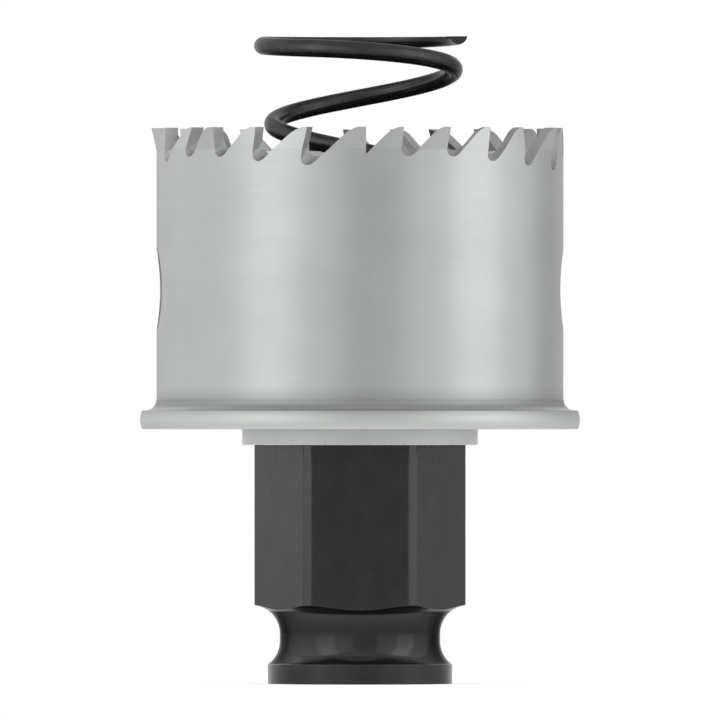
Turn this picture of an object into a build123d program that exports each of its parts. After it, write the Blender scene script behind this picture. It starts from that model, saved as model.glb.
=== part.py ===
from build123d import *
import os
from math import asin, atan2, cos, degrees, hypot, pi, radians, sin, sqrt, tan

# Hole saw with a quick-change boss and an ejector spring, standing on the foot of the boss.
# Millimetres, +Z up along the axis, the foot on Z = 0. Azimuths are in degrees from the front
# (-Y) towards +X, so they grow to the right as the saw is seen from the front.

# Boss: a hexagon bar with turned corners, a round groove for the latch, a foot and a spigot
foot_diameter = 16.76
foot_height = 1.78
neck_diameter = 14.6
neck_length = 0.68
groove_radius = 2.6
hex_across_flats = 17.05
hex_turned_diameter = 19.2
hex_length = 14.57
spigot_diameter = 15.8
spigot_stand_out = 1.0
spigot_chamfer = 0.6
bore_diameter = 7.4
bore_chamfer = 0.5
spring_seat_depth = 1.8

# Washer between the boss and the plate
washer_diameter = 21.42
washer_thickness = 1.44

# Base plate: the flange that stops the cut, a register inside the cup and the weld fillet
flange_diameter = 40.0
flange_thickness = 1.69
rim_land = 0.7
rim_fall = 0.19
register_height = 1.5
register_chamfer = 0.4
weld_fillet = 1.0

# Cup: a flat saw strip, toothed, rolled into a ring and welded at a seam
cup_diameter = 37.0
strip_thickness = 1.15
cup_height = 25.67
cup_turn = 1.7
side_hole_diameter = 7.76
side_hole_height = 11.0

# Teeth: one run of the strip's variable pattern, which repeats back from the seam. Its last tooth
# stands at the seam, where the cut leaves it a little long. A set is 1 where the tip is bent out,
# -1 where it is bent in. A gullet's floor rises to the inside by a share of the gullet's depth
tip_pitches = (4.36, 4.42, 4.89, 5.2, 4.75, 4.36, 4.42, 4.89, 5.2, 4.25)
gullet_depths = (2.62, 2.65, 3.03, 3.39, 3.05, 2.62, 2.65, 3.03, 3.39, 3.84)
tooth_sets = (0, 0, 0, 1, 0, -1, 1, 0, -1, 1)
seam_allowance = 0.39
tip_height = 2.0
tip_land = 0.5
set_offset = 0.47
rake_angle = 7.5
gullet_root_radius = 0.7
gullet_rise = 0.2
root_bearing = 3.0
gap_middle = 0.9
shoulder_share = 0.22
shoulder_slope = 30.0
gullet_lead = 10.0

# Ejector spring: left-hand, conical, both ends closed and ground flat
wire_diameter = 1.6
spring_top_diameter = 19.5
spring_base_diameter = 10.9
spring_stand_out = 8.35
spring_turns = 4.75
closed_turns = 0.68
easing_turns = 0.32
closed_lead = 1.86
ground_tip = 0.73
spring_end_azimuth = 90.0

# Rounds on turned faces are drawn as cones, the gullets' roots with flats, and the round wire as
# straight stretches with flat sides, which keeps the part light
groove_cones = 3
fillet_cones = 2
root_flats = 4
stretches_per_turn = 24
wire_sides = 8

# Clearances, each on the radius
thread_gap = 0.05
weld_gap = 0.02
spring_gap = 0.15

# Length that a cutting tool reaches past what it cuts
over = 1.0

# Levels and radii that follow from the sizes above
foot_radius = foot_diameter / 2
neck_radius = neck_diameter / 2
hex_turned_radius = hex_turned_diameter / 2
groove_middle_radius = neck_radius + groove_radius
groove_low = foot_height + sqrt(groove_radius**2 - (groove_middle_radius - foot_radius) ** 2)
groove_high = groove_low + neck_length
hex_bottom = groove_high + sqrt(
    groove_radius**2 - (groove_middle_radius - hex_turned_radius) ** 2
)
shoulder = hex_bottom + hex_length
plate_bottom = shoulder + washer_thickness
flange_top = plate_bottom + flange_thickness
register_top = flange_top + register_height
spigot_top = register_top + spigot_stand_out
spring_seat = spigot_top - spring_seat_depth
tip_plane = flange_top + cup_height
weld_line = tip_plane - tip_height
spring_top = tip_plane + spring_stand_out

cup_radius = cup_diameter / 2
cup_inner_radius = cup_radius - strip_thickness
spigot_radius = spigot_diameter / 2
spigot_hole_radius = spigot_radius + thread_gap
wire_radius = wire_diameter / 2
set_spread = {-1: -set_offset, 0: 0.0, 1: set_offset}


def outward(azimuth):
    """Unit vector from the axis at an azimuth."""
    return Vector(sin(radians(azimuth)), -cos(radians(azimuth)), 0)


def along(azimuth):
    """Unit vector at an azimuth in the direction in which azimuths grow."""
    return Vector(cos(radians(azimuth)), sin(radians(azimuth)), 0)


def facing(azimuth, distance, height):
    """Plane square to an azimuth, its X along the wall and its Y up."""
    origin = outward(azimuth) * distance + Vector(0, 0, height)
    return Plane(origin=origin, x_dir=along(azimuth), z_dir=outward(azimuth))


def turned(*lines):
    """Solid of revolution about Z from lines drawn as (radius, height)."""
    edges = [edge for line in lines for edge in line.edges()]
    return revolve(Plane.XZ * make_face(edges), Axis.Z)


def round_points(centre, radius, start, end, cones):
    """Points (radius, height) along a round about a centre, between two angles in degrees."""
    angles = [radians(start + (end - start) * step / cones) for step in range(cones + 1)]
    return [(centre[0] + radius * cos(a), centre[1] + radius * sin(a)) for a in angles]


# Boss

def groove_ring():
    """Ring that the round-nosed groove takes away, two quarter rounds with a neck between."""
    high_centre = (groove_middle_radius, groove_high)
    low_centre = (groove_middle_radius, groove_low)
    outer = hex_turned_radius + groove_radius + over
    high_round = round_points(high_centre, groove_radius, 180, 90, groove_cones)
    low_round = round_points(low_centre, groove_radius, 270, 180, groove_cones)
    high_end = (outer, high_round[-1][1])
    low_end = (outer, low_round[0][1])
    return turned(Polyline(*high_round, high_end, low_end, *low_round, close=True))


def spring_outer_radius(height):
    """Outer radius of the spring's cone at a height."""
    share = (height - spring_seat) / (spring_top - spring_seat)
    return (spring_base_diameter + share * (spring_top_diameter - spring_base_diameter)) / 2


def boss_bore():
    """Through hole for the pilot drill, with the seat of the spring's small end at its top."""
    bore_radius = bore_diameter / 2
    seat_radius = spring_outer_radius(spigot_top) + spring_gap
    return turned(
        Polyline(
            (0, -over),
            (bore_radius + bore_chamfer + over, -over),
            (bore_radius, bore_chamfer),
            (bore_radius, spring_seat),
            (seat_radius, spring_seat),
            (seat_radius, spigot_top + over),
            (0, spigot_top + over),
            (0, -over),
        )
    )


def hex_boss():
    """Boss turned from hexagon bar: foot, groove, hexagon, shoulder and threaded spigot."""
    middle = (groove_low + groove_high) / 2
    foot = extrude(Circle(foot_radius), middle)
    flats = RegularPolygon(hex_across_flats / 2, 6, major_radius=False)
    bar = extrude(flats & Circle(hex_turned_radius), shoulder - middle)
    spigot = turned(
        Polyline(
            (0, shoulder),
            (spigot_radius, shoulder),
            (spigot_radius, spigot_top - spigot_chamfer),
            (spigot_radius - spigot_chamfer, spigot_top),
            (0, spigot_top),
            (0, shoulder),
        )
    )
    return foot + Pos(0, 0, middle) * bar + spigot - groove_ring() - boss_bore()


# Washer and base plate

def spacer_washer():
    """Flat washer on the spigot, between the boss's shoulder and the plate."""
    ring = Circle(washer_diameter / 2) - Circle(spigot_hole_radius)
    return Pos(0, 0, shoulder) * extrude(ring, washer_thickness)


def base_plate():
    """Turned plate: barrelled flange rim, channel for the strip, register and weld fillet."""
    rim = flange_diameter / 2
    land_start = plate_bottom + (flange_thickness - rim_land) / 2
    channel = cup_radius + weld_gap
    fillet_centre = (channel + weld_fillet, flange_top + weld_fillet)
    register = cup_inner_radius - weld_gap
    return turned(
        Polyline(
            (spigot_hole_radius, plate_bottom),
            (rim - rim_fall, plate_bottom),
            (rim, land_start),
            (rim, land_start + rim_land),
            (rim - rim_fall, flange_top),
            *round_points(fillet_centre, weld_fillet, 270, 180, fillet_cones),
            (channel, flange_top),
            (register, flange_top),
            (register, register_top - register_chamfer),
            (register - register_chamfer, register_top),
            (spigot_hole_radius, register_top),
            close=True,
        )
    )


# Teeth

def tooth_list():
    """Teeth along the strip as (tip's distance from the seam, pitch to the next tip, place).

    The last tip is at the seam, and the pattern runs back from it. The strip starts inside the
    gullet of a tooth that was cut off, which is returned apart.
    """
    place = len(tip_pitches) - 1
    distance = pi * cup_diameter
    pitch = tip_pitches[place]
    allowance = seam_allowance
    teeth = []
    while distance > 2 * gullet_root_radius:
        teeth.insert(0, (distance, pitch, place))
        place = (place - 1) % len(tip_pitches)
        pitch = tip_pitches[place] + allowance
        allowance = 0
        distance -= pitch
    return teeth, (min(distance, 0.0), pitch, place)


def azimuth_of(distance):
    """Azimuth of a distance along the outside of the strip."""
    return cup_turn + degrees(distance / cup_radius)


def gullet(distance, pitch, place):
    """Tool for the gullet behind a tip: rake face, round root, straight back and shoulder.

    The root is a cone, drawn with flats, that opens to the inside and touches rake and back all
    along, so that the gullet's floor rises through the wall.
    """
    lead = azimuth_of(distance) - gullet_lead
    depth = gullet_depths[place]
    rake = radians(rake_angle)
    root = gullet_root_radius

    def wall(where):
        return cup_radius * sin(radians(azimuth_of(where) - lead))

    tip = wall(distance)
    end = wall(distance + pitch - tip_land)
    centre_y = root - depth
    centre_x = tip + (root + centre_y * sin(rake)) / cos(rake)
    drop = shoulder_share * depth
    knee_x = end - drop / tan(radians(shoulder_slope))
    reach = hypot(knee_x - centre_x, -drop - centre_y)
    back = atan2(-drop - centre_y, knee_x - centre_x) + asin(root / reach)
    half = (pi / 2 - rake - back) / 2
    corner_x = centre_x - root / sin(half) * cos(back + half)
    corner_y = centre_y - root / sin(half) * sin(back + half)
    outline = [
        Polyline((knee_x, -drop), (corner_x, corner_y), (tip, 0), (tip, over), (end, over), (end, 0)),
        TangentArc((knee_x, -drop), (end, 0), tangent=(cos(back), sin(back))),
    ]
    start = cup_inner_radius / 2
    edges = [edge for line in outline for edge in line.edges()]
    tool = extrude(facing(lead, start, tip_plane) * make_face(edges), cup_radius + over - start)

    slant = cos(radians(gullet_lead + root_bearing))
    outside = facing(lead, cup_radius * slant, tip_plane)
    run = strip_thickness * slant * (-depth - corner_y) / (gullet_rise * depth)
    apex = (outside * Pos(corner_x, corner_y, run)).position
    centre = (centre_x, centre_y)
    rounded = round_points(centre, root, 180 - rake_angle, 270 + degrees(back), root_flats)
    rays = [(outside * Pos(x, y, 0)).position - apex for x, y in rounded]
    for ray, next_ray in zip(rays, rays[1:]):
        side = Plane(origin=apex, z_dir=next_ray.cross(ray))
        tool = split(tool, bisect_by=side, keep=Keep.TOP)
    return tool


def gullet_tools():
    """Every gullet tool. The first is cut off at the seam, so that it spares the last tooth."""
    teeth, cut_off = tooth_list()
    size = flange_diameter
    past_seam = facing(cup_turn, size / 2, tip_plane) * Pos(size / 2, 0, 0) * Box(size, size, size)
    return [gullet(*cut_off) & past_seam] + [gullet(*tooth) for tooth in teeth[:-1]]


def set_sector(start, end, spread):
    """Part of the strip's edge above the weld line, leaning out by a spread at the tip plane."""
    section = Polygon(
        (cup_inner_radius, weld_line),
        (cup_radius, weld_line),
        (cup_radius + spread, tip_plane),
        (cup_inner_radius + spread, tip_plane),
        align=None,
    )
    wedge = revolve(Plane.XZ * section, Axis.Z, revolution_arc=end - start)
    return Rot(0, 0, start - 90) * wedge


def tooth_tips(tools):
    """High-speed steel tips welded to the strip, bent in, out or left straight in turn."""
    teeth, _ = tooth_list()
    step = degrees(gap_middle / cup_radius)
    tips = []
    start = cup_turn
    for number, (distance, _, place) in enumerate(teeth):
        last = number == len(teeth) - 1
        end = azimuth_of(distance) + (0 if last else step)
        tip = set_sector(start, end, set_spread[tooth_sets[place]]) - tools[number]
        if not last:
            tip = tip - tools[number + 1]
        tips += tip.solids()
        start = end
    return Compound(tips)


def cup_strip(tools):
    """Rolled strip below the weld line, with the gullet roots and two round side holes."""
    ring = Circle(cup_radius) - Circle(cup_inner_radius)
    wall = Pos(0, 0, flange_top) * extrude(ring, weld_line - flange_top)
    reach = cup_radius + over
    drill = extrude(Circle(side_hole_diameter / 2), amount=reach, both=True)
    across = facing(cup_turn + 90, 0, flange_top + side_hole_height)
    return wall - tools - across * drill


# Spring

def open_lead():
    """Lead of the open coils, from the height that the closed and easing turns leave."""
    height = spring_top - spring_seat + 2 * (wire_radius - ground_tip)
    closed = 2 * closed_lead * (closed_turns + easing_turns / 2)
    return (height - closed) / (spring_turns - 2 * closed_turns - easing_turns)


def spring_drop(turn):
    """Drop of the wire's centre below its top end after so many turns of one half."""
    eased = min(max(turn - closed_turns, 0), easing_turns)
    opened = max(turn - closed_turns - easing_turns, 0)
    gain = open_lead() - closed_lead
    return closed_lead * turn + gain * (eased**2 / (2 * easing_turns) + opened)


def spring_point(turn):
    """Centre of the wire after so many turns down from the top end."""
    top = spring_top - ground_tip + wire_radius
    base = spring_seat + ground_tip - wire_radius
    if turn < spring_turns / 2:
        height = top - spring_drop(turn)
    else:
        height = base + spring_drop(spring_turns - turn)
    radius = spring_outer_radius(height) - wire_radius
    return outward(spring_end_azimuth + 360 * turn) * radius + Vector(0, 0, height)


def ejector_spring():
    """Conical spring, its end coils ground flat on the boss's seat and on top."""
    steps = round(spring_turns * stretches_per_turn)
    path = Polyline(*[spring_point(spring_turns * step / steps) for step in range(steps + 1)])
    section = Plane(origin=path @ 0, z_dir=path % 0) * RegularPolygon(wire_radius, wire_sides)
    wire = sweep(section, path=path, transition=Transition.RIGHT)
    between = Pos(0, 0, spring_seat) * extrude(Circle(spring_top_diameter), spring_top - spring_seat)
    return wire & between


def write(name, shape):
    """Write one node's STEP file."""
    export_step(shape, f"parts/{name}.step")


os.makedirs("parts", exist_ok=True)
tools = gullet_tools()
write("hex_boss", hex_boss())
write("spacer_washer", spacer_washer())
write("base_plate", base_plate())
write("cup_strip", cup_strip(tools))
write("tooth_tips", tooth_tips(tools))
write("ejector_spring", ejector_spring())
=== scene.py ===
import bmesh
import bpy
import numpy as np
from math import acos, asin, degrees, pi, radians
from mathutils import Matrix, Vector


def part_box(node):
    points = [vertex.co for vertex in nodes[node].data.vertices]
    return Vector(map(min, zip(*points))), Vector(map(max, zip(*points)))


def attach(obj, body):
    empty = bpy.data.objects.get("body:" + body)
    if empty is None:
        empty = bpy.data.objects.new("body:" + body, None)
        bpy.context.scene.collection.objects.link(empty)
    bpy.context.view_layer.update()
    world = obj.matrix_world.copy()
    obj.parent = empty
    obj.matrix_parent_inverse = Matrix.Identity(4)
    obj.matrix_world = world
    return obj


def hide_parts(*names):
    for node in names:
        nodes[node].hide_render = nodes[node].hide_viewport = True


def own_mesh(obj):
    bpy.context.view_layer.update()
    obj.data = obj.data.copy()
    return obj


# Hole saw on the foot of its boss. Metres, +Z up, the front faces -Y.
# Azimuths are in degrees from the front (-Y) towards +X, as in the CAD part.

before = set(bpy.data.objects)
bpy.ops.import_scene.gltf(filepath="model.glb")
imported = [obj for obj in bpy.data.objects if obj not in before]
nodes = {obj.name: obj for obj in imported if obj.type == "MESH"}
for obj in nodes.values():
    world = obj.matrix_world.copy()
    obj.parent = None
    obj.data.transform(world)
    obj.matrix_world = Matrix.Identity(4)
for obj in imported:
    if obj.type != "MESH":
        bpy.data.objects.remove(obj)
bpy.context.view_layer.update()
mm = 0.001


def lowOf(node):
    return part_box(node)[0].z


def highOf(node):
    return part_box(node)[1].z


# levels that the CAD part gives, so that every new piece sits where its node does
levels = {
    "shoulder": lowOf("spacer_washer"),
    "plateBottom": lowOf("base_plate"),
    "flangeTop": lowOf("cup_strip"),
    "registerTop": highOf("base_plate"),
    "spigotTop": highOf("hex_boss"),
    "springSeat": lowOf("ejector_spring"),
    "weldLine": highOf("cup_strip"),
    "springTop": highOf("ejector_spring"),
}
print("frame loaded:", len(nodes), "nodes")


# Small tools

def linearColour(hexCode):
    # sRGB hex to linear: below 0.04045 a straight line, above it a power of 2.4
    values = [int(hexCode[i:i + 2], 16) / 255 for i in (1, 3, 5)]
    return [v / 12.92 if v <= 0.04045 else ((v + 0.055) / 1.055) ** 2.4 for v in values] + [1.0]


def outwardAt(azimuth):
    # unit vectors from the axis at azimuths in degrees: sine, minus cosine and zero
    a = np.radians(np.asarray(azimuth, float))
    return np.stack([np.sin(a), -np.cos(a), np.zeros_like(a)], axis=-1)


def arcPoints(centre, radius, start, end, steps):
    # radius and height along a round: centre plus radius times (cos, sin) of the angle, in degrees
    t = np.radians(np.linspace(start, end, steps + 1))
    return np.stack([centre[0] + radius * np.cos(t), centre[1] + radius * np.sin(t)], axis=-1)


def gridFaces(rows, columns, closedRows):
    # a quad for each cell of a grid whose columns close on themselves, and its rows where asked
    i, j = np.meshgrid(np.arange(rows if closedRows else rows - 1), np.arange(columns), indexing="ij")
    i, j = i.ravel(), j.ravel()
    nextI, nextJ = (i + 1) % rows, (j + 1) % columns
    corners = [i * columns + j, i * columns + nextJ, nextI * columns + nextJ, nextI * columns + j]
    return np.stack(corners, axis=-1).tolist()


edges = {
    "sharpAngle": 18,
    "breakSegments": 2,
    "breakAngle": 25,
}


def makePiece(name, grid, closedRows, body, sharpAngle=edges["sharpAngle"]):
    # closed mesh from a grid of points (row, column, xyz). Rows that don't close get a flat cap at
    # each end. Its faces are turned outwards, and shaded smooth up to the sharp angle
    rows, columns = grid.shape[:2]
    faces = gridFaces(rows, columns, closedRows)
    if not closedRows:
        faces += [list(range(columns)), list(range((rows - 1) * columns, rows * columns))]
    mesh = bpy.data.meshes.new(name)
    mesh.from_pydata(grid.reshape(-1, 3).tolist(), [], faces)
    shell = bmesh.new()
    shell.from_mesh(mesh)
    bmesh.ops.recalc_face_normals(shell, faces=shell.faces)
    shell.to_mesh(mesh)
    shell.free()
    mesh.polygons.foreach_set("use_smooth", np.ones(len(mesh.polygons), bool))
    mesh.set_sharp_from_angle(angle=radians(sharpAngle))
    piece = bpy.data.objects.new(name, mesh)
    bpy.context.scene.collection.objects.link(piece)
    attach(piece, body)
    return piece


def breakEdges(piece, width):
    # takes the razor edge off where two faces meet, as tumbling or plating does
    bevel = piece.modifiers.new("edgeBreak", "BEVEL")
    bevel.width = width
    bevel.segments = edges["breakSegments"]
    bevel.limit_method = "ANGLE"
    bevel.angle_limit = radians(edges["breakAngle"])
    bevel.harden_normals = False


def turnedPiece(name, profile, body, steps):
    # closed profile of (radius, height) carried round Z: radius times the outward vector, plus height
    out = outwardAt(np.arange(steps) * 360 / steps)
    grid = profile[:, None, 0, None] * out[None, :, :]
    grid[:, :, 2] = profile[:, 1, None]
    return makePiece(name, grid, True, body)


# Boss

boss = {
    "footDiameter": 16.76 * mm,
    "footHeight": 1.78 * mm,
    "neckDiameter": 14.6 * mm,
    "neckLength": 0.68 * mm,
    "grooveRadius": 2.6 * mm,
    "acrossFlats": 17.05 * mm,
    "turnedDiameter": 19.2 * mm,
    "spigotDiameter": 15.8 * mm,
    "spigotChamfer": 0.6 * mm,
    "boreDiameter": 7.4 * mm,
    "boreChamfer": 0.5 * mm,
    "seatDiameter": 11.7 * mm,
    "threadPitch": 1.41 * mm,
    "threadDepth": 0.3 * mm,
    "threadRunOut": 0.2 * mm,
    "edgeBreak": 0.09 * mm,
    "flatPoints": 21,
    "cornerPoints": 7,
    "barPoints": 7,
    "lowRoundPoints": 15,
    "highRoundPoints": 25,
    "threadPoints": 14,
}


def bossAzimuths():
    # columns lie evenly across each flat, and closer round each turned corner, one on every edge
    half = degrees(acos(boss["acrossFlats"] / boss["turnedDiameter"]))
    flat = np.degrees(np.arctan(np.linspace(-1, 1, boss["flatPoints"]) * np.tan(radians(half))))
    corner = np.linspace(half, 60 - half, boss["cornerPoints"])[1:-1]
    side = np.concatenate([flat, corner])
    return (side + 60 * np.arange(6)[:, None]).ravel()


def makeBoss():
    # radius and height as functions of a row and an azimuth. Foot and groove are round. The bar is
    # the lesser of the hexagon's reach (half the width over the cosine from the flat's middle) and
    # the turned radius, and the groove's upper round runs up to where it meets that bar
    azimuth = bossAzimuths()
    fromMiddle = np.radians((azimuth + 30) % 60 - 30)
    bar = np.minimum(boss["acrossFlats"] / 2 / np.cos(fromMiddle), boss["turnedDiameter"] / 2)
    foot, groove = boss["footDiameter"] / 2, boss["grooveRadius"]
    middle = boss["neckDiameter"] / 2 + groove
    footAngle = acos((foot - middle) / groove)
    grooveLow = boss["footHeight"] + groove * np.sin(footAngle)
    grooveHigh = grooveLow + boss["neckLength"]
    bore, seat, chamfer = boss["boreDiameter"] / 2, boss["seatDiameter"] / 2, boss["boreChamfer"]
    spigot, spigotChamfer = boss["spigotDiameter"] / 2, boss["spigotChamfer"]
    shoulder, top, seatLevel = levels["shoulder"], levels["spigotTop"], levels["springSeat"]

    def block(radius, height):
        return np.stack(np.broadcast_arrays(radius, height, azimuth)[:2], axis=-1)

    under = block(np.array([[bore + chamfer], [(bore + foot) / 2], [foot]]), 0.0)
    low = np.linspace(2 * pi - footAngle, pi, boss["lowRoundPoints"])[:, None]
    lowRound = block(middle + groove * np.cos(low), grooveLow + groove * np.sin(low))
    along = np.linspace(0, 1, boss["highRoundPoints"])[:, None]
    high = pi + (np.arccos((bar - middle) / groove) - pi) * along
    highRound = block(middle + groove * np.cos(high), grooveHigh + groove * np.sin(high))
    barFoot = highRound[-1, :, 1]
    along = np.linspace(0, 1, boss["barPoints"])[1:, None]
    flats = block(bar, barFoot + (shoulder - barFoot) * along)
    face = block(np.stack([(spigot + bar) / 2, np.full_like(bar, spigot)]), shoulder)
    # the thread shows above the plate: its depth falls and rises once a pitch, on a helix
    threadFoot = levels["registerTop"] - boss["threadRunOut"]
    height = np.linspace(threadFoot, top - spigotChamfer, boss["threadPoints"])[:, None]
    turns = height / boss["threadPitch"] - azimuth / 360
    thread = block(spigot - boss["threadDepth"] * (0.5 + 0.5 * np.cos(2 * pi * turns)), height)
    insideRadius = np.array([[spigot - spigotChamfer], [seat], [seat], [bore], [bore]])
    insideHeight = np.array([[top], [top], [seatLevel], [seatLevel], [chamfer]])
    inside = block(insideRadius, insideHeight)

    grid = np.concatenate([under, lowRound, highRound, flats, face, thread, inside])
    points = grid[:, :, 0, None] * outwardAt(azimuth)[None, :, :]
    points[:, :, 2] = grid[:, :, 1]
    piece = makePiece("blackBoss", points, True, "saw")
    breakEdges(piece, boss["edgeBreak"])
    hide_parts("hex_boss")
    return piece


# Washer

washer = {
    "diameter": 21.42 * mm,
    "holeDiameter": 15.9 * mm,
    "edgeBreak": 0.06 * mm,
    "steps": 180,
}


def makeWasher():
    # six points of a flat ring's section, carried round the axis
    low, high = levels["shoulder"], levels["plateBottom"]
    hole, rim = washer["holeDiameter"] / 2, washer["diameter"] / 2
    middle = (hole + rim) / 2
    under = [(hole, low), (middle, low), (rim, low)]
    over = [(rim, high), (middle, high), (hole, high)]
    piece = turnedPiece("matteWasher", np.array(under + over), "saw", washer["steps"])
    breakEdges(piece, washer["edgeBreak"])
    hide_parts("spacer_washer")
    return piece


# Base plate

plate = {
    "flangeDiameter": 40.0 * mm,
    "rimRadius": 1.9 * mm,
    "cupDiameter": 37.0 * mm,
    "stripThickness": 1.15 * mm,
    "weldFillet": 1.0 * mm,
    "weldGap": 0.02 * mm,
    "registerChamfer": 0.4 * mm,
    "holeDiameter": 15.9 * mm,
    "rimSteps": 12,
    "filletSteps": 14,
    "steps": 240,
}


def makePlate():
    # profile with a barrelled rim, a hollow weld fillet that runs up the cup, and the register
    # that centres the cup, carried round the axis
    low, top = levels["plateBottom"], levels["flangeTop"]
    rim, hole = plate["flangeDiameter"] / 2, plate["holeDiameter"] / 2
    rimRadius = plate["rimRadius"]
    rise = degrees(asin((top - low) / 2 / rimRadius))
    rimCentre = (rim - rimRadius, (low + top) / 2)
    barrel = arcPoints(rimCentre, rimRadius, -rise, rise, plate["rimSteps"])
    channel = plate["cupDiameter"] / 2 + plate["weldGap"]
    fillet = plate["weldFillet"]
    hollow = arcPoints((channel + fillet, top + fillet), fillet, 270, 180, plate["filletSteps"])
    register = plate["cupDiameter"] / 2 - plate["stripThickness"] - plate["weldGap"]
    edge, registerTop = plate["registerChamfer"], levels["registerTop"]
    seat = [(channel, top), (register, top), (register, registerTop - edge)]
    inner = [(register - edge, registerTop), (hole, registerTop), (hole, low)]
    profile = np.concatenate([[((hole + rim) / 2, low)], barrel, hollow, seat, inner])
    piece = turnedPiece("flangedPlate", profile, "saw", plate["steps"])
    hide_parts("base_plate")
    return piece


# Ejector spring

spring = {
    "wireDiameter": 1.6 * mm,
    "topDiameter": 19.5 * mm,
    "baseDiameter": 10.9 * mm,
    "turns": 4.75,
    "closedTurns": 0.68,
    "easingTurns": 0.32,
    "closedLead": 1.86 * mm,
    "groundTip": 0.73 * mm,
    "endAzimuth": 90.0,
    "stepsPerTurn": 72,
    "wireSteps": 28,
    "sharpAngle": 35,
}


def springCentre(turn):
    # centre of the wire after so many turns from the top. The drop from the nearer end is the
    # closed lead times the turns, plus what the open coils gain, eased in by half a square
    wire = spring["wireDiameter"] / 2
    top = levels["springTop"] - spring["groundTip"] + wire
    base = levels["springSeat"] + spring["groundTip"] - wire
    closed = 2 * spring["closedLead"] * (spring["closedTurns"] + spring["easingTurns"] / 2)
    openTurns = spring["turns"] - 2 * spring["closedTurns"] - spring["easingTurns"]
    gain = (top - base - closed) / openTurns - spring["closedLead"]
    near = np.minimum(turn, spring["turns"] - turn)
    eased = np.clip(near - spring["closedTurns"], 0, spring["easingTurns"])
    opened = np.maximum(near - spring["closedTurns"] - spring["easingTurns"], 0)
    drop = spring["closedLead"] * near + gain * (eased ** 2 / (2 * spring["easingTurns"]) + opened)
    height = np.where(turn < spring["turns"] / 2, top - drop, base + drop)
    share = (height - levels["springSeat"]) / (levels["springTop"] - levels["springSeat"])
    radius = (spring["baseDiameter"] + share * (spring["topDiameter"] - spring["baseDiameter"])) / 2 - wire
    points = radius[:, None] * outwardAt(spring["endAzimuth"] + 360 * turn)
    points[:, 2] = height
    return points


def makeSpring():
    # circle carried along that line: centre plus the wire's radius times cos and sin of the angle
    # on two axes square to the line. Heights are held between seat and top, which grinds the ends
    steps = round(spring["turns"] * spring["stepsPerTurn"])
    turn = np.linspace(0, spring["turns"], steps + 1)
    centre = springCentre(turn)
    ahead = np.gradient(centre, axis=0)
    ahead /= np.linalg.norm(ahead, axis=1)[:, None]
    out = outwardAt(spring["endAzimuth"] + 360 * turn)
    out -= np.einsum("ij,ij->i", out, ahead)[:, None] * ahead
    out /= np.linalg.norm(out, axis=1)[:, None]
    up = np.cross(ahead, out)
    t = np.arange(spring["wireSteps"]) * 2 * pi / spring["wireSteps"]
    circle = np.cos(t)[None, :, None] * out[:, None, :] + np.sin(t)[None, :, None] * up[:, None, :]
    points = centre[:, None, :] + spring["wireDiameter"] / 2 * circle
    points[:, :, 2] = np.clip(points[:, :, 2], levels["springSeat"], levels["springTop"])
    piece = makePiece("ejectorSpring", points, False, "ejector", spring["sharpAngle"])
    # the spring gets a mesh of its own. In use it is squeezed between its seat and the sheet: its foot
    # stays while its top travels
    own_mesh(piece)
    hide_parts("ejector_spring")
    return piece


# Toothed strip and tips

cup = {
    "joinDistance": 0.0005 * mm,
    "sharpAngle": 38,
}


def joinedCopy(name, node):
    # the CAD node's own triangles with the corners that coincide made one, so that they shade
    # smoothly where they turn little, as round the cup and along the flats in the gullets' roots
    source = nodes[node].data
    corners = np.empty(3 * len(source.vertices))
    source.vertices.foreach_get("co", corners)
    corners = corners.reshape(-1, 3)
    grid = np.round(corners / cup["joinDistance"]).astype(np.int64)
    _, first, joined = np.unique(grid, axis=0, return_index=True, return_inverse=True)
    triangles = np.empty(len(source.loops), int)
    source.loops.foreach_get("vertex_index", triangles)
    triangles = joined.reshape(-1)[triangles].reshape(-1, 3)
    whole = (triangles != np.roll(triangles, 1, axis=1)).all(axis=1)
    mesh = bpy.data.meshes.new(name)
    mesh.from_pydata(corners[first].tolist(), [], triangles[whole].tolist())
    mesh.polygons.foreach_set("use_smooth", np.ones(len(mesh.polygons), bool))
    mesh.set_sharp_from_angle(angle=radians(cup["sharpAngle"]))
    piece = bpy.data.objects.new(name, mesh)
    bpy.context.scene.collection.objects.link(piece)
    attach(piece, "saw")
    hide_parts(node)
    return piece


pieces = {"boss": makeBoss(), "washer": makeWasher(), "plate": makePlate(), "spring": makeSpring()}
pieces["strip"] = joinedCopy("rolledStrip", "cup_strip")
pieces["tips"] = joinedCopy("groundTips", "tooth_tips")
print("pieces made:", ", ".join(pieces))


# Materials

def addNode(tree, kind, inputs=None, **settings):
    # a node with its own settings. An input is a constant, or another node's output to be linked
    node = tree.nodes.new(kind)
    for name, value in settings.items():
        setattr(node, name, value)
    for name, value in (inputs or {}).items():
        if isinstance(value, bpy.types.NodeSocket):
            tree.links.new(value, node.inputs[name])
        else:
            node.inputs[name].default_value = value
    return node


def newMaterial(name):
    # a material with an empty tree, and the object's own coordinates in metres
    material = bpy.data.materials.new(name)
    material.use_nodes = True
    tree = material.node_tree
    tree.nodes.clear()
    return material, tree, addNode(tree, "ShaderNodeTexCoord").outputs["Object"]


def mottledBy(tree, place, sizes, low, high, spread=0.2):
    # noise of a size in millimetres along each axis. What it varies about its middle, as far as the
    # spread either way, is brought to run from low to high
    scale = [1 / (size * mm) for size in sizes]
    scaled = addNode(tree, "ShaderNodeMapping", {"Vector": place, "Scale": scale}).outputs[0]
    noise = addNode(tree, "ShaderNodeTexNoise", {"Vector": scaled, "Scale": 1.0, "Detail": 4.0})
    ends = {"Value": noise.outputs["Fac"], 1: 0.5 - spread, 2: 0.5 + spread, 3: low, 4: high}
    return addNode(tree, "ShaderNodeMapRange", ends).outputs[0]


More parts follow.
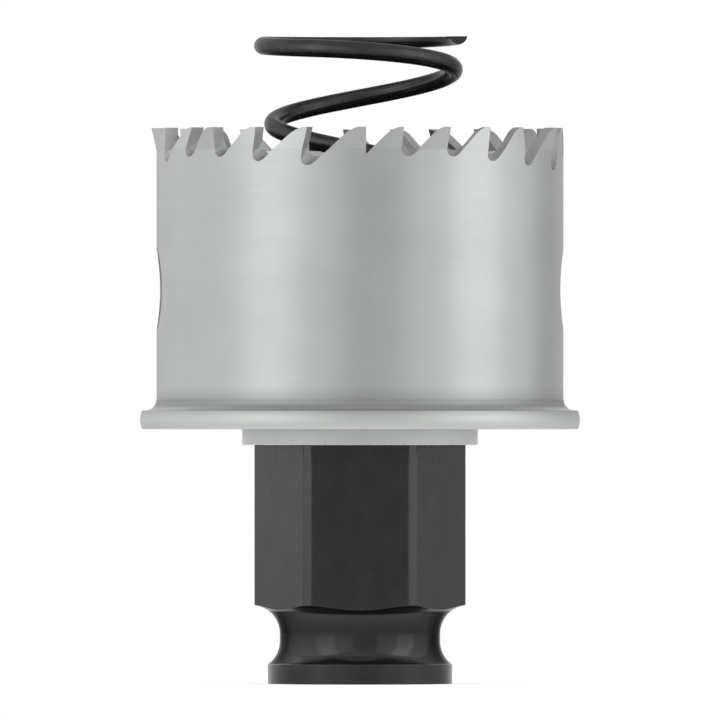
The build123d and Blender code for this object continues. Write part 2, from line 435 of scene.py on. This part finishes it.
# strip steel, cold rolled to a fine satin and wiped: soft broad highlights down the cup, and lines
# round it that are too faint to show but break up the glint. The rake faces are ground brighter
# than the milled gullet floors. Rolling lines are a few microns apart, and drawn ten times coarser
stripSteel = {
    "colour": "#9FA1A0",
    "cloudColour": "#999B9A",
    "cloudSize": (9, 9, 6),
    "edgeTint": "#D1D1D1",
    "weldColour": "#868887",
    "weldWidth": 0.14 * mm,
    "weldShare": 0.12,
    # painted shade on the cup's foot, beside the flange
    "cupFootShadeColour": "#8A8C8A",
    "cupFootShadeLow": 0.9 * mm,
    "cupFootShadeHigh": 2.2 * mm,
    "groundColour": "#B0B2B0",
    "milledColour": "#939593",
    # painted highlight on faces that look down, as on bent-out tips
    "downSheenColour": "#A9ABA9",
    # painted light inside the strip, and painted shade inside the tips
    "stripInsideLight": "#C8CAC8",
    "tipInsideShade": "#808280",
    "roughness": 0.37,
    "roughnessSpread": 0.03,
    "cutRoughness": 0.5,
    "lineSize": (7, 7, 0.09),
    "lineStrength": 0.12,
    "lineHeight": 0.02 * mm,
}


def makeStripSteel(name, paintedInsideCode):
    material, tree, place = newMaterial(name)
    axes = addNode(tree, "ShaderNodeSeparateXYZ", {"Vector": place}).outputs
    flat = addNode(tree, "ShaderNodeCombineXYZ", {"X": axes["X"], "Y": axes["Y"]}).outputs[0]
    outward = addNode(tree, "ShaderNodeVectorMath", {0: flat}, operation="NORMALIZE").outputs[0]
    normal = addNode(tree, "ShaderNodeNewGeometry").outputs["Normal"]
    # cut faces look neither out nor in, and of them the rake faces look level or a little down
    facing = addNode(tree, "ShaderNodeVectorMath", {0: normal, 1: outward}, operation="DOT_PRODUCT")
    facing = facing.outputs["Value"]
    lean = addNode(tree, "ShaderNodeMath", {0: facing}, operation="ABSOLUTE").outputs[0]
    ends = {"Value": lean, 1: 0.7, 2: 0.9, 3: 1.0, 4: 0.0}
    cut = addNode(tree, "ShaderNodeMapRange", ends).outputs[0]
    rise = addNode(tree, "ShaderNodeSeparateXYZ", {"Vector": normal}).outputs["Z"]
    ends = {"Value": rise, 1: 0.0, 2: 0.3, 3: 1.0, 4: 0.0}
    ground = addNode(tree, "ShaderNodeMapRange", ends).outputs[0]

    cloud = mottledBy(tree, place, stripSteel["cloudSize"], 0.0, 1.0)
    first, second = linearColour(stripSteel["colour"]), linearColour(stripSteel["cloudColour"])
    tone = addNode(tree, "ShaderNodeMix", {0: cloud, 6: first, 7: second}, data_type="RGBA").outputs[2]
    # the weld between strip and tips, seen as a hair of darker metal
    ends = {0: axes["Z"], 1: levels["weldLine"]}
    offWeld = addNode(tree, "ShaderNodeMath", ends, operation="SUBTRACT").outputs[0]
    offWeld = addNode(tree, "ShaderNodeMath", {0: offWeld}, operation="ABSOLUTE").outputs[0]
    ends = {"Value": offWeld, 1: 0.0, 2: stripSteel["weldWidth"], 3: stripSteel["weldShare"], 4: 0.0}
    weld = addNode(tree, "ShaderNodeMapRange", ends).outputs[0]
    weldColour = linearColour(stripSteel["weldColour"])
    colours = {0: weld, 6: tone, 7: weldColour}
    tone = addNode(tree, "ShaderNodeMix", colours, data_type="RGBA").outputs[2]
    # painted shade: the cup is painted darker towards its foot, in the hollow beside the flange's weld
    # fillet
    low = levels["flangeTop"] + stripSteel["cupFootShadeLow"]
    high = levels["flangeTop"] + stripSteel["cupFootShadeHigh"]
    ends = {"Value": axes["Z"], 1: low, 2: high, 3: 1.0, 4: 0.0}
    cupFootShade = addNode(tree, "ShaderNodeMapRange", ends).outputs[0]
    cupFootShadeColour = linearColour(stripSteel["cupFootShadeColour"])
    colours = {0: cupFootShade, 6: tone, 7: cupFootShadeColour}
    tone = addNode(tree, "ShaderNodeMix", colours, data_type="RGBA").outputs[2]
    # painted highlight: faces that look down, as on the tips that are bent out, are painted paler for the
    # light they catch
    ends = {"Value": rise, 1: -0.2, 2: -0.05, 3: 1.0, 4: 0.0}
    downSheen = addNode(tree, "ShaderNodeMapRange", ends).outputs[0]
    downSheenColour = linearColour(stripSteel["downSheenColour"])
    colours = {0: downSheen, 6: tone, 7: downSheenColour}
    tone = addNode(tree, "ShaderNodeMix", colours, data_type="RGBA").outputs[2]
    # the inside is painted a tone of its own: painted shade inside the tips, painted light inside the
    # strip
    ends = {"Value": facing, 1: -0.9, 2: -0.7, 3: 1.0, 4: 0.0}
    inside = addNode(tree, "ShaderNodeMapRange", ends).outputs[0]
    colours = {0: inside, 6: tone, 7: linearColour(paintedInsideCode)}
    tone = addNode(tree, "ShaderNodeMix", colours, data_type="RGBA").outputs[2]
    first = linearColour(stripSteel["milledColour"])
    second = linearColour(stripSteel["groundColour"])
    colours = {0: ground, 6: first, 7: second}
    cutTone = addNode(tree, "ShaderNodeMix", colours, data_type="RGBA").outputs[2]
    colours = {0: cut, 6: tone, 7: cutTone}
    tone = addNode(tree, "ShaderNodeMix", colours, data_type="RGBA").outputs[2]

    rough, spread = stripSteel["roughness"], stripSteel["roughnessSpread"]
    lines = mottledBy(tree, place, stripSteel["lineSize"], rough - spread, rough + spread)
    ends = {0: cut, 2: lines, 3: stripSteel["cutRoughness"]}
    roughness = addNode(tree, "ShaderNodeMix", ends, data_type="FLOAT").outputs[0]
    bumpInputs = {"Height": lines, "Strength": stripSteel["lineStrength"]}
    bumpInputs["Distance"] = stripSteel["lineHeight"]
    bump = addNode(tree, "ShaderNodeBump", bumpInputs).outputs[0]
    inputs = {"Base Color": tone, "Metallic": 1.0, "Roughness": roughness, "Normal": bump}
    inputs["Specular Tint"] = linearColour(stripSteel["edgeTint"])
    shader = addNode(tree, "ShaderNodeBsdfPrincipled", inputs).outputs[0]
    addNode(tree, "ShaderNodeOutputMaterial", {"Surface": shader})
    return material


# mild steel, finish turned: a clean sheen that runs round the rim, in rings a tenth of a millimetre
# apart, which are seen as a slight softening of the glint
turnedSteel = {
    "colour": "#969896",
    # painted highlight on the rim's lower part
    "rimLowSheenColour": "#C2C4C2",
    # painted shade on the weld fillet
    "filletShadeColour": "#848684",
    "filletShadeFade": 0.4 * mm,
    "edgeTint": "#D1D1D1",
    "roughness": 0.5,
    "roughnessSpread": 0.05,
    "ringSize": (0.1, 1, 1),
    "ringStrength": 0.25,
    "ringHeight": 0.02 * mm,
}


def makeTurnedSteel():
    material, tree, place = newMaterial("turnedSteel")
    axes = addNode(tree, "ShaderNodeSeparateXYZ", {"Vector": place}).outputs
    flat = addNode(tree, "ShaderNodeCombineXYZ", {"X": axes["X"], "Y": axes["Y"]}).outputs[0]
    radius = addNode(tree, "ShaderNodeVectorMath", {0: flat}, operation="LENGTH").outputs["Value"]
    # rings follow radius plus height, so that they run round flats and rims alike
    line = addNode(tree, "ShaderNodeMath", {0: radius, 1: axes["Z"]}, operation="ADD").outputs[0]
    line = addNode(tree, "ShaderNodeCombineXYZ", {"X": line}).outputs[0]
    rough, spread = turnedSteel["roughness"], turnedSteel["roughnessSpread"]
    rings = mottledBy(tree, line, turnedSteel["ringSize"], rough - spread, rough + spread)
    # the rim is painted lighter downwards, a painted highlight of light from below, and the weld fillet
    # above it is painted darker upwards from the rim's lighter tone, a painted shade in the hollow between
    # cup and flange
    low, top = levels["plateBottom"], levels["flangeTop"]
    ends = {"Value": axes["Z"], 1: low, 2: top, 3: 1.0, 4: 0.0}
    rim = addNode(tree, "ShaderNodeMapRange", ends).outputs[0]
    first, second = linearColour(turnedSteel["colour"]), linearColour(turnedSteel["rimLowSheenColour"])
    tone = addNode(tree, "ShaderNodeMix", {0: rim, 6: first, 7: second}, data_type="RGBA").outputs[2]
    fade = {"Value": axes["Z"], 1: top, 2: top + turnedSteel["filletShadeFade"], 3: 0.0, 4: 1.0}
    fillet = addNode(tree, "ShaderNodeMapRange", fade).outputs[0]
    colours = {0: fillet, 6: second, 7: linearColour(turnedSteel["filletShadeColour"])}
    weld = addNode(tree, "ShaderNodeMix", colours, data_type="RGBA").outputs[2]
    ends = {0: axes["Z"], 1: top}
    onFillet = addNode(tree, "ShaderNodeMath", ends, operation="GREATER_THAN").outputs[0]
    colours = {0: onFillet, 6: tone, 7: weld}
    tone = addNode(tree, "ShaderNodeMix", colours, data_type="RGBA").outputs[2]
    bumpInputs = {"Height": rings, "Strength": turnedSteel["ringStrength"]}
    bumpInputs["Distance"] = turnedSteel["ringHeight"]
    bump = addNode(tree, "ShaderNodeBump", bumpInputs).outputs[0]
    inputs = {"Base Color": tone, "Metallic": 1.0, "Roughness": rings, "Normal": bump}
    inputs["Specular Tint"] = linearColour(turnedSteel["edgeTint"])
    shader = addNode(tree, "ShaderNodeBsdfPrincipled", inputs).outputs[0]
    addNode(tree, "ShaderNodeOutputMaterial", {"Surface": shader})
    return material


# steel with a dipped zinc-flake coat: dull and even, with a fine speckle in place of a shine. Its pale
# colour is partly the coat's and partly painted light, against the flange's shade on the washer
zincFlake = {
    # painted light: paler than the coat, against the flange's shade
    "colour": "#C0C2C0",
    "speckleColour": "#C8CAC8",
    "metallic": 1.0,
    "roughness": 0.6,
    "speckleSize": (0.12, 0.12, 0.12),
    "speckleSpread": 0.25,
    "speckleStrength": 0.35,
    "speckleHeight": 0.005 * mm,
}


def makeZincFlake():
    material, tree, place = newMaterial("zincFlakeSteel")
    size, spread = zincFlake["speckleSize"], zincFlake["speckleSpread"]
    speckle = mottledBy(tree, place, size, 0.0, 1.0, spread)
    first, second = linearColour(zincFlake["colour"]), linearColour(zincFlake["speckleColour"])
    colours = {0: speckle, 6: first, 7: second}
    tone = addNode(tree, "ShaderNodeMix", colours, data_type="RGBA").outputs[2]
    bumpInputs = {"Height": speckle, "Strength": zincFlake["speckleStrength"]}
    bumpInputs["Distance"] = zincFlake["speckleHeight"]
    bump = addNode(tree, "ShaderNodeBump", bumpInputs).outputs[0]
    inputs = {"Base Color": tone, "Metallic": zincFlake["metallic"], "Normal": bump}
    inputs["Roughness"] = zincFlake["roughness"]
    shader = addNode(tree, "ShaderNodeBsdfPrincipled", inputs).outputs[0]
    addNode(tree, "ShaderNodeOutputMaterial", {"Surface": shader})
    return material


# machined steel under hot black oxide: near black with a low satin sheen, a little cloudy where the
# bath took unevenly, and the cutter's marks just felt through the skin
blackOxide = {
    "colour": "#2E2E2E",
    "cloudColour": "#333333",
    "cloudSize": (1.6, 1.6, 2.4),
    # painted highlight on the hexagon's turned corners
    "cornerSheenColour": "#393939",
    "cornerSheenFade": (0.06 * mm, 0.02 * mm),
    # painted light on leaning faces, as in the groove
    "leanSheenColour": "#565656",
    "edgeTint": "#F0F0F0",
    "grooveTint": "#949494",
    "grooveGloss": 0.55,
    "grooveFade": (0.12 * mm, 0.02 * mm),
    "metallic": 0.9,
    "roughness": 0.27,
    "roughnessSpread": 0.04,
    "grainSize": (0.16, 0.16, 1.4),
    "grainStrength": 0.2,
    "grainHeight": 0.02 * mm,
}


def makeBlackOxide():
    material, tree, place = newMaterial("blackOxideSteel")
    rough, spread = blackOxide["roughness"], blackOxide["roughnessSpread"]
    grain = mottledBy(tree, place, blackOxide["grainSize"], rough - spread, rough + spread)
    cloud = mottledBy(tree, place, blackOxide["cloudSize"], 0.0, 1.0)
    first, second = linearColour(blackOxide["colour"]), linearColour(blackOxide["cloudColour"])
    tone = addNode(tree, "ShaderNodeMix", {0: cloud, 6: first, 7: second}, data_type="RGBA").outputs[2]
    # painted highlight: the hexagon's turned corners are painted lighter than its drawn flats
    axes = addNode(tree, "ShaderNodeSeparateXYZ", {"Vector": place}).outputs
    flat = addNode(tree, "ShaderNodeCombineXYZ", {"X": axes["X"], "Y": axes["Y"]}).outputs[0]
    radius = addNode(tree, "ShaderNodeVectorMath", {0: flat}, operation="LENGTH").outputs["Value"]
    rim, (far, near) = boss["turnedDiameter"] / 2, blackOxide["cornerSheenFade"]
    ends = {"Value": radius, 1: rim - far, 2: rim - near, 3: 0.0, 4: 1.0}
    corner = addNode(tree, "ShaderNodeMapRange", ends).outputs[0]
    colours = {0: corner, 6: tone, 7: linearColour(blackOxide["cornerSheenColour"])}
    tone = addNode(tree, "ShaderNodeMix", colours, data_type="RGBA").outputs[2]
    # painted light: faces are painted paler the more they lean up or down, as the groove's rounds do,
    # against the shade the groove casts on itself
    normal = addNode(tree, "ShaderNodeNewGeometry").outputs["Normal"]
    rise = addNode(tree, "ShaderNodeSeparateXYZ", {"Vector": normal}).outputs["Z"]
    lean = addNode(tree, "ShaderNodeMath", {0: rise, 1: rise}, operation="MULTIPLY").outputs[0]
    leanSheen = linearColour(blackOxide["leanSheenColour"])
    tone = addNode(tree, "ShaderNodeMix", {0: lean, 6: tone, 7: leanSheen}, data_type="RGBA").outputs[2]
    bumpInputs = {"Height": grain, "Strength": blackOxide["grainStrength"]}
    bumpInputs["Distance"] = blackOxide["grainHeight"]
    bump = addNode(tree, "ShaderNodeBump", bumpInputs).outputs[0]
    # inside the foot's radius the tool leaves a smoother face, with less of a bright edge
    foot, (far, near) = boss["footDiameter"] / 2, blackOxide["grooveFade"]
    ends = {"Value": radius, 1: foot - far, 2: foot - near, 3: 1.0, 4: 0.0}
    inGroove = addNode(tree, "ShaderNodeMapRange", ends).outputs[0]
    first, second = linearColour(blackOxide["edgeTint"]), linearColour(blackOxide["grooveTint"])
    colours = {0: inGroove, 6: first, 7: second}
    tint = addNode(tree, "ShaderNodeMix", colours, data_type="RGBA").outputs[2]
    gloss = {"Value": inGroove, 1: 0.0, 2: 1.0, 3: 1.0, 4: blackOxide["grooveGloss"]}
    gloss = addNode(tree, "ShaderNodeMapRange", gloss).outputs[0]
    roughness = addNode(tree, "ShaderNodeMath", {0: grain, 1: gloss}, operation="MULTIPLY").outputs[0]
    inputs = {"Base Color": tone, "Metallic": blackOxide["metallic"], "Roughness": roughness}
    inputs.update({"Normal": bump, "Specular Tint": tint})
    shader = addNode(tree, "ShaderNodeBsdfPrincipled", inputs).outputs[0]
    addNode(tree, "ShaderNodeOutputMaterial", {"Surface": shader})
    return material


# music wire, drawn and blackened: glossier than the boss, so that it shows a narrow light streak
blackWire = {
    "colour": "#3C3C3D",
    "cloudColour": "#333334",
    "cloudSize": (1.2, 1.2, 1.2),
    "edgeTint": "#B8B8B8",
    "metallic": 0.85,
    "roughness": 0.28,
    "roughnessSpread": 0.05,
    "grainSize": (0.5, 0.5, 0.1),
    "grainStrength": 0.2,
    "grainHeight": 0.02 * mm,
}


def makeBlackWire():
    material, tree, place = newMaterial("blackMusicWire")
    rough, spread = blackWire["roughness"], blackWire["roughnessSpread"]
    grain = mottledBy(tree, place, blackWire["grainSize"], rough - spread, rough + spread)
    cloud = mottledBy(tree, place, blackWire["cloudSize"], 0.0, 1.0)
    first, second = linearColour(blackWire["colour"]), linearColour(blackWire["cloudColour"])
    tone = addNode(tree, "ShaderNodeMix", {0: cloud, 6: first, 7: second}, data_type="RGBA").outputs[2]
    bumpInputs = {"Height": grain, "Strength": blackWire["grainStrength"]}
    bumpInputs["Distance"] = blackWire["grainHeight"]
    bump = addNode(tree, "ShaderNodeBump", bumpInputs).outputs[0]
    inputs = {"Base Color": tone, "Metallic": blackWire["metallic"], "Roughness": grain}
    inputs.update({"Normal": bump, "Specular Tint": linearColour(blackWire["edgeTint"])})
    shader = addNode(tree, "ShaderNodeBsdfPrincipled", inputs).outputs[0]
    addNode(tree, "ShaderNodeOutputMaterial", {"Surface": shader})
    return material


pieces["boss"].data.materials.append(makeBlackOxide())
pieces["washer"].data.materials.append(makeZincFlake())
pieces["plate"].data.materials.append(makeTurnedSteel())
pieces["spring"].data.materials.append(makeBlackWire())
pieces["strip"].data.materials.append(makeStripSteel("rolledStripSteel", stripSteel["stripInsideLight"]))
pieces["tips"].data.materials.append(makeStripSteel("groundToolSteel", stripSteel["tipInsideShade"]))
print("materials made")


# Studio: floor, world, lamps and camera

studio = {
    "floorRings": (0.0005, 0.02, 0.05, 0.1, 0.2, 0.3),
    "floorColumns": 96,
    "floorColour": "#C8C8C8",
    "floorGlow": 0.6,
    "fadeStart": 0.05,
    "fadeEnd": 0.12,
    "ambient": 0.55,
    "lampFoot": -0.05,
}

lamps = {
    "leftWall": {"azimuth": -61, "distance": 0.5, "width": 1.2, "height": 0.6, "radiance": 0.62},
    "leftLamp": {"azimuth": -52, "distance": 0.49, "width": 0.26, "height": 0.6, "radiance": 0.9},
    "rightWall": {"azimuth": 70, "distance": 0.5, "width": 1.0, "height": 0.6, "radiance": 0.62},
    "rightLamp": {"azimuth": 69, "distance": 0.49, "width": 0.26, "height": 0.6, "radiance": 1.0},
    "backLeftLamp": {"azimuth": -136, "distance": 0.5, "width": 0.45, "height": 0.6, "radiance": 0.8},
    "backRightLamp": {"azimuth": 155, "distance": 0.5, "width": 0.26, "height": 0.6, "radiance": 0.35},
}

shot = {
    "lens": 840.0,
    "sensor": 18.0,
    "pixels": 720,
    "pixelsPerMm": 11.0,
    "footRow": 683.8,
}


def shownRays(tree):
    # 1 for camera, glossy and transmission rays, which see the white background
    path = addNode(tree, "ShaderNodeLightPath").outputs
    rays = {0: path["Is Camera Ray"], 1: path["Is Glossy Ray"]}
    seen = addNode(tree, "ShaderNodeMath", rays, operation="MAXIMUM").outputs[0]
    rays = {0: seen, 1: path["Is Transmission Ray"]}
    return addNode(tree, "ShaderNodeMath", rays, operation="MAXIMUM").outputs[0]


def makeWorld():
    world = bpy.data.worlds.new("studioWorld")
    world.use_nodes = True
    bpy.context.scene.world = world
    tree = world.node_tree
    tree.nodes.clear()
    glow = {"Color": (1, 1, 1, 1), "Strength": studio["ambient"]}
    ambient = addNode(tree, "ShaderNodeBackground", glow)
    white = addNode(tree, "ShaderNodeBackground", {"Color": (1, 1, 1, 1), "Strength": 1.0})
    inputs = {0: shownRays(tree), 1: ambient.outputs[0], 2: white.outputs[0]}
    mix = addNode(tree, "ShaderNodeMixShader", inputs).outputs[0]
    addNode(tree, "ShaderNodeOutputWorld", {"Surface": mix})


def makeFloor():
    # disc of rings round the origin. Its matt paper takes the object's shadow, and a glow that only
    # the rays above see lifts it to the white background, into which it fades
    radii, columns = np.array(studio["floorRings"]), studio["floorColumns"]
    points = radii[:, None, None] * outwardAt(np.arange(columns) * 360 / columns)[None, :, :]
    faces = gridFaces(len(radii), columns, False) + [list(range(columns - 1, -1, -1))]
    mesh = bpy.data.meshes.new("studioFloor")
    mesh.from_pydata(points.reshape(-1, 3).tolist(), [], faces)
    floor = bpy.data.objects.new("studioFloor", mesh)
    bpy.context.scene.collection.objects.link(floor)
    material, tree, place = newMaterial("paleBackgroundPaper")
    colour = {"Color": linearColour(studio["floorColour"])}
    paper = addNode(tree, "ShaderNodeBsdfDiffuse", colour).outputs[0]
    seen = shownRays(tree)
    ends = {0: seen, 1: studio["floorGlow"]}
    strength = addNode(tree, "ShaderNodeMath", ends, operation="MULTIPLY").outputs[0]
    glow = addNode(tree, "ShaderNodeEmission", {"Strength": strength}).outputs[0]
    lit = addNode(tree, "ShaderNodeAddShader", {0: paper, 1: glow}).outputs[0]
    white = addNode(tree, "ShaderNodeEmission", {"Strength": 1.0}).outputs[0]
    length = addNode(tree, "ShaderNodeVectorMath", {0: place}, operation="LENGTH").outputs["Value"]
    ends = {"Value": length, 1: studio["fadeStart"], 2: studio["fadeEnd"], 3: 0.0, 4: 1.0}
    far = addNode(tree, "ShaderNodeMapRange", ends).outputs[0]
    factor = addNode(tree, "ShaderNodeMath", {0: seen, 1: far}, operation="MULTIPLY").outputs[0]
    mix = addNode(tree, "ShaderNodeMixShader", {0: factor, 1: lit, 2: white}).outputs[0]
    addNode(tree, "ShaderNodeOutputMaterial", {"Surface": mix})
    mesh.materials.append(material)


def makeLamps():
    # upright soft boxes round the saw. An area lamp's watts are its radiance times pi times its area
    for name, lamp in lamps.items():
        light = bpy.data.lights.new(name, "AREA")
        light.shape = "RECTANGLE"
        light.size, light.size_y = lamp["width"], lamp["height"]
        light.energy = lamp["radiance"] * pi * lamp["width"] * lamp["height"]
        item = bpy.data.objects.new(name, light)
        place = outwardAt(lamp["azimuth"]) * lamp["distance"]
        item.location = (place[0], place[1], studio["lampFoot"] + lamp["height"] / 2)
        item.rotation_euler = (radians(90), 0, radians(lamp["azimuth"]))
        bpy.context.scene.collection.objects.link(item)


def makeCamera():
    # far off with a very long lens, as the photograph shows almost no perspective
    data = bpy.data.cameras.new("studioCamera")
    data.lens, data.sensor_width = shot["lens"], shot["sensor"]
    width = shot["pixels"] / shot["pixelsPerMm"] * mm
    height = (shot["footRow"] - shot["pixels"] / 2) / shot["pixelsPerMm"] * mm
    distance = width * shot["lens"] / shot["sensor"]
    data.clip_start, data.clip_end = 1.0, 2 * distance
    camera = bpy.data.objects.new("studioCamera", data)
    camera.location = (0, -distance, height)
    camera.rotation_euler = (radians(90), 0, 0)
    bpy.context.scene.collection.objects.link(camera)
    bpy.context.scene.camera = camera


makeWorld()
makeFloor()
makeLamps()
makeCamera()
bpy.context.scene.view_settings.view_transform = "Standard"
print("studio ready")
